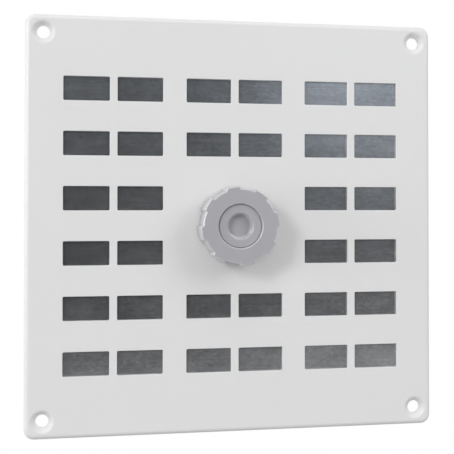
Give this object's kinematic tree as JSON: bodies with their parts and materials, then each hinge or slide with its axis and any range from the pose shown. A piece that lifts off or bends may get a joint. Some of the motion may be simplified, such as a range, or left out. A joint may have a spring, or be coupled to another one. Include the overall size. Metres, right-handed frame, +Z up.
{
  "type": "ventilation grille",
  "caption": "Square wall vent: pressed face plate with rows of rectangular windows, a sliding sheet shutter behind them and a lobed clamp knob in the centre.",
  "frame": {"origin": "centre of the four fixing holes, in the wall plane that the plate's back edge rests on", "axes": "+X right seen from the room, +Z up, +Y into the wall, so the face looks along -Y"},
  "size_m": [0.165, 0.0199, 0.165],
  "materials": {
    "white_coat": "white powder coat on sheet steel, low sheen",
    "shutter_metal": "bare rolled sheet, satin",
    "zinc": "bright zinc plate",
    "spacer_plastic": "natural polyamide",
    "knob_plastic": "light grey moulded plastic, fine satin",
    "insert_brass": "turned"
  },
  "bodies": {
    "plate": {"front_plate": "white_coat", "left_guide": "white_coat", "right_guide": "white_coat"},
    "shutter": {"shutter_plate": "shutter_metal", "clamp_bolt": "zinc", "spacer_washer": "spacer_plastic"},
    "knob_seat": {"knob_washer": "zinc"},
    "knob": {"knob": "knob_plastic", "knob_insert": "insert_brass"}
  },
  "joints": [
    {"name": "shutter_slide", "type": "slide", "parent": "plate", "child": "shutter", "axis": [0, 0, 1], "range_m": [0, 0.01075]},
    {"name": "knob_lift", "type": "slide", "parent": "shutter", "child": "knob_seat", "axis": [0, -1, 0], "range_m": [0, 0.0008]},
    {"name": "knob_turn", "type": "hinge", "parent": "knob_seat", "child": "knob", "pos_m": [0, -0.006, 0], "axis": [0, -1, 0], "range_deg": [0, 360]}
  ],
  "couplings": [
    {"joint": "knob_lift", "follows": "knob_turn", "m_per_rad": 0.00012732}
  ]
}
